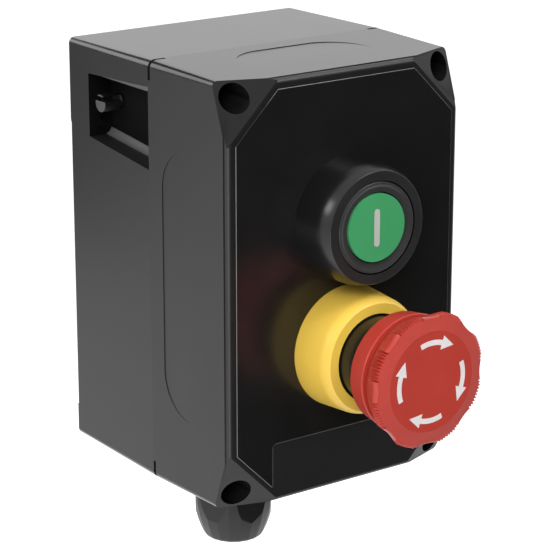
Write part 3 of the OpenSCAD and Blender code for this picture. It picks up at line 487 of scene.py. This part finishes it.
def turned(name, node, profile, *materials):
    """A piece turned on its node's axis, from an outline of (radius, height over its rear).

    An outline that ends where it starts gives a ring, and any other a solid piece."""
    low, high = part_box(node)
    middle = (low + high) / 2
    steps = [(radius * mm, high.y - height * mm) for radius, height in profile]
    is_ring = profile[0] == profile[-1]
    bpy.ops.object.select_all(action="DESELECT")
    bpy.ops.mesh.primitive_circle_add(
        vertices=turned_sides, radius=steps[0][0], fill_type="NOTHING" if is_ring else "NGON",
        location=(middle.x, steps[0][1], middle.z), rotation=(pi / 2, 0, 0))
    piece = bpy.context.object
    piece.name = name
    bpy.ops.object.transform_apply(location=True, rotation=True, scale=True)
    bpy.ops.object.mode_set(mode="EDIT")
    bpy.ops.mesh.select_all(action="SELECT")
    for start, end in zip(steps, steps[1:]):
        step_on(middle, start, end)
    bpy.ops.mesh.select_all(action="SELECT")
    bpy.ops.mesh.remove_doubles(threshold=weld_gap)
    bpy.ops.mesh.select_all(action="SELECT")
    bpy.ops.mesh.normals_make_consistent(inside=False)
    bpy.ops.object.mode_set(mode="OBJECT")
    finish_with(piece, *materials)
    return piece


def collar_profile(shoulder_r, face_r, barrel_r, bore_r):
    """Outline of a device collar: a barrelled side, a flat face and a stepped bore."""
    foot_r, height = 22.5, 17.3
    sleeve_r, sleeve_h = 15.1, 6.0
    seal_r, seal_h = 20.5, 1.2
    rows = 8
    barrel = acos((face_r - shoulder_r + barrel_r) / barrel_r)
    barrel_h = height - barrel_r * sin(barrel)
    turns = [barrel * row / rows for row in range(rows + 1)]
    side = [(shoulder_r - barrel_r * (1 - cos(turn)), barrel_h + barrel_r * sin(turn)) for turn in turns]
    inside = [(bore_r, height), (bore_r, sleeve_h), (sleeve_r, sleeve_h), (sleeve_r, seal_h),
              (seal_r, seal_h), (seal_r, 0.0)]
    return [(foot_r, 0.0)] + side + inside + [(foot_r, 0.0)]


collar_edge = 0.14 * mm
start_profile = collar_profile(shoulder_r=22.0, face_r=20.1, barrel_r=15.0, bore_r=16.7)
collar = turned("start_bezel", "start_collar", start_profile, collar_plastic, painted_lit_face)
# The flat front face of the collar gets the painted light.
repaint(collar, 1, faces_front)
ease_edges(collar, collar_edge)
fit(collar, "station", "collar", "start_collar")

button_low, button_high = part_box("start_button")
button_l = (button_high.y - button_low.y) / mm
button_z = (button_low.z + button_high.z) / 2
cap_r = 16.4
cap_foot = button_l - 6.0
rod_r = 4.0
guide_r = 9.95
guide_foot = 27.8
groove_r = 3.2
groove_span = (14.6, 15.5)
seat_r = 12.6
seat_drop = 0.66
seat_floor = 1.4
rod = [(rod_r, 0.0), (rod_r, groove_span[0]), (groove_r, groove_span[0]), (groove_r, groove_span[1]),
       (rod_r, groove_span[1]), (rod_r, guide_foot), (guide_r, guide_foot), (guide_r, cap_foot),
       (cap_r, cap_foot), (cap_r, button_l - 0.7), (cap_r - 0.2, button_l - 0.2)]
dish = [(15.7, 0.0), (15.2, 0.12), (14.7, 0.4), (13.9, 0.62), (13.2, seat_drop), (seat_r, seat_drop),
        (seat_r, seat_floor)]
button_profile = rod + [(radius, button_l - drop) for radius, drop in dish]


def in_seat(place, normal):
    """Whether a face lies in the seat of the green insert, within the dish."""
    return Vector((place.x, place.z - button_z)).length < seat_r * 1.01 * mm


button = turned("start_button_cap", "start_button", button_profile, button_plastic, collar_plastic)
# The seat of the green insert is painted in the collar's near-black, as painted shade in the gap round the
# insert.
repaint(button, 1, in_seat)
ease_edges(button, 0.1 * mm)
fit(button, "start_button", "collar", "start_button")

insert = turned("green_insert", "start_insert", [(12.15, 0.0), (12.15, 1.4)], green_plastic)
smooth_over(insert, 30)
fit(insert, "start_button", "green", "start_insert")

insert_low, insert_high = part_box("start_insert")
start_z = (insert_low.z + insert_high.z) / 2
print_t = 0.06 * mm
print_depth = print_t * 1.5
bar_w = 2.4 * mm
bar_h = 13.5 * mm
bpy.ops.object.select_all(action="DESELECT")
bpy.ops.mesh.primitive_circle_add(
    vertices=32, radius=bar_w / 2, fill_type="NGON",
    location=(0, insert_low.y - print_t, start_z), rotation=(pi / 2, 0, 0))
bar = bpy.context.object
bar.name = "start_mark"
bpy.ops.object.transform_apply(location=True, rotation=True, scale=True)
bpy.ops.object.mode_set(mode="EDIT")
pick(bar, lambda place: place.z > start_z + hair)
bpy.ops.transform.translate(value=(0, 0, (bar_h - bar_w) / 2))
pick(bar, lambda place: place.z < start_z - hair)
bpy.ops.transform.translate(value=(0, 0, (bar_w - bar_h) / 2))
bpy.ops.mesh.select_all(action="SELECT")
bpy.ops.mesh.extrude_region_move(TRANSFORM_OT_translate={"value": (0, print_depth, 0)})
bpy.ops.mesh.select_all(action="SELECT")
bpy.ops.mesh.normals_make_consistent(inside=False)
bpy.ops.object.mode_set(mode="OBJECT")
finish_with(bar, mark_paint)
ease_edges(bar, 0.02 * mm, corner=60, rows=1)
fit(bar, "start_button", "green")


# Collar and neck of the emergency stop: the collar is moulded in yellow and screws on
# the sleeve, and the black neck covers the shaft up to the head.
yellow_plastic = plastic(
    "yellow_plastic", (0.80, 0.53, 0.075), roughness=0.42,
    grain_size=2600, grain_depth=0.01 * mm, mottle=0.03)
yellow_profile = collar_profile(shoulder_r=21.6, face_r=19.8, barrel_r=8.0, bore_r=16.1)
yellow_collar = turned("yellow_collar", "estop_collar", yellow_profile, yellow_plastic)
ease_edges(yellow_collar, collar_edge)
fit(yellow_collar, "station", "yellow", "estop_collar")

neck_low, neck_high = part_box("estop_neck")
neck_l = (neck_high.y - neck_low.y) / mm
neck_r = 15.5
neck_bore_r = 13.0
floor_span = (neck_l - 14.4, neck_l - 11.9)
pin_r = 6.1
shaft_r = 9.95
head_edge = 0.3 * mm
neck = turned("head_neck", "estop_neck", [
    (neck_r, 0.0), (neck_r, neck_l), (neck_bore_r, neck_l), (neck_bore_r, floor_span[1]),
    (pin_r, floor_span[1]), (pin_r, floor_span[0]), (shaft_r, floor_span[0]), (shaft_r, 0.0),
    (neck_r, 0.0)], collar_plastic)
ease_edges(neck, head_edge)
fit(neck, "estop_shaft", "collar", "estop_neck")


# Red head: a skirt and a flared cap with eight finger hollows, moulded in signal red.
# Between the hollows the crests carry fine teeth for the grip.
red_plastic = plastic(
    "red_plastic", (0.45, 0.043, 0.029), roughness=0.34,
    grain_size=2600, grain_depth=0.006 * mm, mottle=0.03)
disc_plastic = plastic(
    "disc_plastic", (0.48, 0.050, 0.035), roughness=0.38,
    grain_size=2600, grain_depth=0.01 * mm, mottle=0.03)
# Painted sheen: a lighter, pinker red for the cap's front faces, which stands for the white light they
# reflect; its rougher gloss is real.
rim_painted_sheen = plastic(
    "rim_painted_sheen", (0.50, 0.062, 0.048), roughness=0.46,
    grain_size=2600, grain_depth=0.01 * mm, mottle=0.03)

skirt_rear_r = 20.1
skirt_front = (21.15, 7.6)
skirt_eased = (20.8, 7.9)
gap_r = 17.8
skirt_l = 9.1
socket_r = 8.7
web_r = 6.05
web_span = (3.3, 7.2)
skirt = turned("head_skirt", "estop_skirt", [
    (skirt_rear_r, 0.0), skirt_front, skirt_eased, (gap_r, skirt_eased[1]), (gap_r, skirt_l),
    (socket_r, skirt_l), (socket_r, web_span[1]), (web_r, web_span[1]), (web_r, web_span[0]),
    (socket_r, web_span[0]), (socket_r, 0.0), (skirt_rear_r, 0.0)], red_plastic)
ease_edges(skirt, head_edge)
fit(skirt, "estop_head", "red", "estop_skirt")

cap_low, cap_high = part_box("estop_cap")
disc_low, disc_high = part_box("estop_disc")
head_z = (disc_low.z + disc_high.z) / 2
disc_seat_r = (disc_high.x - disc_low.x) / 2 + 0.1 * mm
head_r = 24.25 * mm
rear_y = cap_high.y
front_y = cap_low.y
widest_y = front_y + 2.6 * mm
face_edge_y = front_y + 0.84 * mm
lobes = 8
columns = 64
lobe_turn = radians(-1)
hollow_half = radians(13)
hollow_depth = 1.4 * mm
tooth_turn = radians(360 / lobes / 16)
teeth_half = tooth_turn * 4.5
tooth_depth = 1.1 * mm
pick_turn = radians(0.2)
head_middle = Vector((0, front_y, head_z))

bpy.ops.object.select_all(action="DESELECT")
bpy.ops.mesh.primitive_circle_add(
    vertices=lobes * columns, radius=head_r,
    location=(0, widest_y, head_z), rotation=(pi / 2, -lobe_turn, 0))
cap = bpy.context.object
cap.name = "head_cap"
bpy.ops.object.transform_apply(location=True, rotation=True, scale=True)
bpy.ops.object.mode_set(mode="EDIT")


def off_hollow(place):
    """Angle of a place on the cap from the middle of the nearest hollow."""
    turn = atan2(place.z - head_z, place.x) - lobe_turn
    step = 2 * pi / lobes
    return abs((turn + step / 2) % step - step / 2)


def tooth_cut(angle):
    """Depth of the teeth at an angle from a hollow's middle, which is nothing off the crest."""
    off_crest = pi / lobes - angle
    if off_crest > teeth_half:
        return 0.0
    return tooth_depth * (1 - cos(2 * pi * off_crest / tooth_turn)) / 2


def scale_ring(y, grow):
    """Scales what is picked of the cap's ring about the head's axis."""
    bpy.ops.transform.resize(value=(grow, 1, grow), center_override=(0, y, head_z))


def at_height(y):
    """Test of whether a place lies on the cap's ring at a height."""
    return lambda place: abs(place.y - y) < hair


# The ring is cut to the hollows and teeth, and drawn out to the face, where the teeth
# run out again. The back is drawn out from the same ring, and gets rounder as it goes.
angles = [column * pi / lobes / (columns / 2) for column in range(columns // 2 + 1)]
for angle in angles:
    cut = hollow_depth * max(0, 1 - (angle / hollow_half) ** 2) + tooth_cut(angle)
    pick(cap, lambda place: abs(off_hollow(place) - angle) < pick_turn)
    scale_ring(widest_y, 1 - cut / head_r)

bpy.ops.mesh.select_all(action="SELECT")
front = [(head_r, widest_y), (24.05 * mm, front_y + 1.3 * mm), (23.75 * mm, front_y + 0.95 * mm),
         (22.6 * mm, face_edge_y)]
for start, end in zip(front, front[1:]):
    step_on(head_middle, start, end)
for angle in angles:
    if tooth_cut(angle):
        pick(cap, lambda place: (abs(off_hollow(place) - angle) < pick_turn
                                 and abs(place.y - face_edge_y) < hair))
        scale_ring(face_edge_y, 1 / (1 - tooth_cut(angle) / head_r))
pick(cap, at_height(face_edge_y))
step_on(head_middle, front[-1], (disc_seat_r, front_y), 1.0)
step_on(head_middle, (disc_seat_r, front_y), (disc_seat_r, disc_high.y))
bpy.ops.mesh.edge_face_add()

pick(cap, at_height(widest_y))
socket_depth = 3.6 * mm
back = [(front[0], 0.0), ((23.7 * mm, front_y + 4.2 * mm), 0.15), ((22.7 * mm, front_y + 6.8 * mm), 0.5),
        ((21.45 * mm, rear_y - 0.6 * mm), 1.0), ((20.35 * mm, rear_y), 0.0), ((socket_r * mm, rear_y), 0.0),
        ((socket_r * mm, rear_y - socket_depth), 0.0)]
for (start, _), (end, roundness) in zip(back, back[1:]):
    step_on(head_middle, start, end, roundness)
bpy.ops.mesh.edge_face_add()
bpy.ops.mesh.select_all(action="SELECT")
bpy.ops.mesh.normals_make_consistent(inside=False)
bpy.ops.object.mode_set(mode="OBJECT")
take_up(cap)
bpy.ops.object.shade_smooth_by_angle(angle=radians(40))
finish_with(cap, red_plastic, rim_painted_sheen)
# The front faces of the cap get the painted sheen.
repaint(cap, 1, lambda place, normal: faces_front(place, normal, least=0.8))
fit(cap, "estop_head", "red", "estop_cap")

disc_r = 18.3
disc_h = 1.8 - print_t / mm
disc_profile = [(disc_r, 0.0), (disc_r, disc_h - 0.2), (disc_r - 0.2, disc_h)]
disc = turned("head_disc", "estop_disc", disc_profile, disc_plastic)
smooth_over(disc, 30)
fit(disc, "estop_head", "red", "estop_disc")


# Turning arrows: four white arrows printed clockwise round the disc, which show the way
# that the head is turned to release it.
arrow_paint = plastic(
    "arrow_paint", (0.80, 0.76, 0.76), roughness=0.5,
    grain_size=3000, grain_depth=0.004 * mm, mottle=0.03)
arrow_r = 14.0 * mm
arrow_w = 1.9 * mm
tail_turn = radians(110)
sweep = radians(38.6)
barb_w = 5.0 * mm
barb_l = 5.2 * mm
arrow_middle = Vector((0, disc_low.y, head_z))

tail = Vector((cos(tail_turn), 0, sin(tail_turn)))
bpy.ops.object.select_all(action="DESELECT")
bpy.ops.mesh.primitive_plane_add(
    size=arrow_w, location=arrow_middle + tail * arrow_r,
    rotation=(pi / 2, pi / 2 - tail_turn, 0))
arrow = bpy.context.object
arrow.name = "turning_arrows"
bpy.ops.object.transform_apply(location=True, rotation=True, scale=True)
bpy.ops.object.mode_set(mode="EDIT")
along = Vector((tail.z, 0, -tail.x))
pick(arrow, lambda place: (place - arrow_middle).dot(along) < 0)
bpy.ops.mesh.delete(type="VERT")
bpy.ops.mesh.select_all(action="SELECT")
bpy.ops.transform.translate(value=-along * arrow_w / 2)
bpy.ops.mesh.spin(steps=14, angle=-sweep, center=arrow_middle, axis=(0, 1, 0))
barb_turn = tail_turn - sweep
barb = Vector((cos(barb_turn), 0, sin(barb_turn)))
ahead = Vector((barb.z, 0, -barb.x))
barb_middle = arrow_middle + barb * arrow_r
bpy.ops.mesh.extrude_region_move(TRANSFORM_OT_translate={"value": (0, 0, 0)})
bpy.ops.transform.resize(value=(barb_w / arrow_w,) * 3, center_override=barb_middle)
bpy.ops.mesh.extrude_region_move(TRANSFORM_OT_translate={"value": ahead * barb_l})
bpy.ops.mesh.merge(type="CENTER")
bpy.ops.mesh.select_all(action="SELECT")
for quarter in range(3):
    bpy.ops.mesh.duplicate()
    bpy.ops.transform.rotate(value=pi / 2, orient_axis="Y", center_override=arrow_middle)
bpy.ops.mesh.select_all(action="SELECT")
bpy.ops.mesh.extrude_region_move(TRANSFORM_OT_translate={"value": (0, print_depth, 0)})
bpy.ops.mesh.select_all(action="SELECT")
bpy.ops.mesh.normals_make_consistent(inside=False)
bpy.ops.object.mode_set(mode="OBJECT")
finish_with(arrow, arrow_paint)
fit(arrow, "estop_head", "red")


# Cable gland: body and cap nut moulded in black nylon, screwed up against the flat seat
# under the box. The nut is a dome of narrow grip faces, cut by six flats for a spanner.
nylon = plastic(
    "nylon", (0.009, 0.009, 0.0095), roughness=0.40,
    grain_size=2600, grain_depth=0.006 * mm, spread=0.02, ior=1.44)
nut_low, nut_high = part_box("gland_cap_nut")
nut_middle = (nut_low + nut_high) / 2
nut_l = nut_high.z - nut_low.z
nut_r = 16.1 * mm
dome_r = 44 * mm
dome_l = 20 * mm
dome_rows = 6
mouth_edge = 0.9 * mm
mouth_r = 8.5 * mm
mouth_l = 7 * mm
thread_l = 14 * mm
thread_r = 12.6 * mm
grip_faces = 20
grip_turn = radians(12)
flat_out = 14.6 * mm
flat_turn = radians(23)
dome_sweep = asin((dome_l - mouth_edge) / dome_r)
dome_turns = [dome_sweep * row / dome_rows for row in range(dome_rows + 1)]
dome = [(nut_r - dome_r * (1 - cos(turn)), nut_l - dome_l + dome_r * sin(turn)) for turn in dome_turns]
bore = [(mouth_r, nut_l), (mouth_r, nut_l - mouth_l), (thread_r - 0.1 * mm, nut_l - thread_l), (thread_r, 0)]
nut_profile = [(nut_r, 0)] + dome + [(dome[-1][0] - mouth_edge, nut_l)] + bore + [(nut_r, 0)]

bpy.ops.object.select_all(action="DESELECT")
bpy.ops.mesh.primitive_circle_add(
    vertices=grip_faces, radius=nut_r, fill_type="NOTHING",
    location=(nut_middle.x, nut_middle.y, nut_high.z), rotation=(0, 0, grip_turn))
gland_nut = bpy.context.object
gland_nut.name = "gland_cap"
bpy.ops.object.transform_apply(location=True, rotation=True, scale=True)
bpy.ops.object.mode_set(mode="EDIT")
bpy.ops.mesh.select_all(action="SELECT")
for start, end in zip(nut_profile, nut_profile[1:]):
    bpy.ops.mesh.extrude_region_move(TRANSFORM_OT_translate={"value": (0, 0, start[1] - end[1])})
    grow = end[0] / start[0]
    ring_middle = (nut_middle.x, nut_middle.y, nut_high.z - end[1])
    bpy.ops.transform.resize(value=(grow, grow, 1), center_override=ring_middle)
bpy.ops.mesh.select_all(action="SELECT")
bpy.ops.mesh.remove_doubles(threshold=weld_gap)
for side in range(6):
    turn = flat_turn + side * pi / 3
    out = Vector((cos(turn), sin(turn), 0))
    bpy.ops.mesh.select_all(action="SELECT")
    bpy.ops.mesh.bisect(plane_co=nut_middle + out * flat_out, plane_no=out, use_fill=True, clear_outer=True)
bpy.ops.mesh.select_all(action="SELECT")
bpy.ops.mesh.normals_make_consistent(inside=False)
bpy.ops.object.mode_set(mode="OBJECT")
finish_with(gland_nut, nylon)
ease_edges(gland_nut, 0.2 * mm, corner=12)
fit(gland_nut, "station", "nylon", "gland_cap_nut")

gland_hexagon = merged_copy("gland_body", "gland_hexagon", nylon)
ease_edges(gland_hexagon, 0.3 * mm)
fit(gland_hexagon, "station", "nylon", "gland_body")


# Bonding stud: turned and slotted steel, zinc plated, through the wall of the left
# fixing channel.
def metal(name, colour, roughness):
    """Plated or turned metal: its gloss varies with the mottle."""
    material = plastic(
        name, colour, roughness, grain_size=900, grain_depth=0.01 * mm, mottle=0.06, spread=0.08)
    material.node_tree.nodes["Principled BSDF"].inputs["Metallic"].default_value = 1.0
    return material


dark_zinc = metal("dark_zinc", (0.25, 0.25, 0.26), roughness=0.34)
stud = merged_copy("bonding_stud", "slotted_stud", dark_zinc)
ease_edges(stud, 0.3 * mm)
fit(stud, "station", "steel", "bonding_stud")


# Pieces inside the box, and the cover screws deep in their wells: they keep their packed
# shapes and get their own finishes.
def dress(material, *names):
    """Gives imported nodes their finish."""
    for name in names:
        mesh = nodes[name].data
        mesh.materials.clear()
        mesh.materials.append(material)


zinc_steel = metal("zinc_steel", (0.42, 0.43, 0.45), roughness=0.32)
turned_brass = metal("turned_brass", (0.60, 0.43, 0.18), roughness=0.30)
rubber = plastic("rubber", (0.018, 0.018, 0.018), roughness=0.62, grain_size=1800, grain_depth=0.02 * mm)
block_plastic = plastic(
    "block_plastic", (0.50, 0.51, 0.50), roughness=0.45,
    grain_size=2400, grain_depth=0.01 * mm, mottle=0.04)
earth_plastic = plastic(
    "earth_plastic", (0.16, 0.36, 0.06), roughness=0.45,
    grain_size=2400, grain_depth=0.01 * mm, mottle=0.04)
dress(zinc_steel, "cover_screws", "mounting_rail", "rail_screws", "bonding_washer", "start_clip",
      "estop_clip", "start_spring", "estop_spring", "estop_head_screw", "estop_latch_ring")
dress(turned_brass, "threaded_inserts", "bonding_nut", "start_terminals", "estop_terminals")
dress(rubber, "cover_gasket", "start_collar_seal", "estop_collar_seal", "start_shaft_seal",
      "estop_shaft_seal", "gland_washer", "gland_seal")
dress(nylon, "start_sleeve", "estop_sleeve", "start_lock_nut", "estop_lock_nut", "estop_shaft",
      "gland_lock_nut")
dress(block_plastic, "start_contact_block", "estop_contact_block")
dress(earth_plastic, "earth_terminal")
dress(green_plastic, "start_plunger")
dress(red_plastic, "estop_plunger")
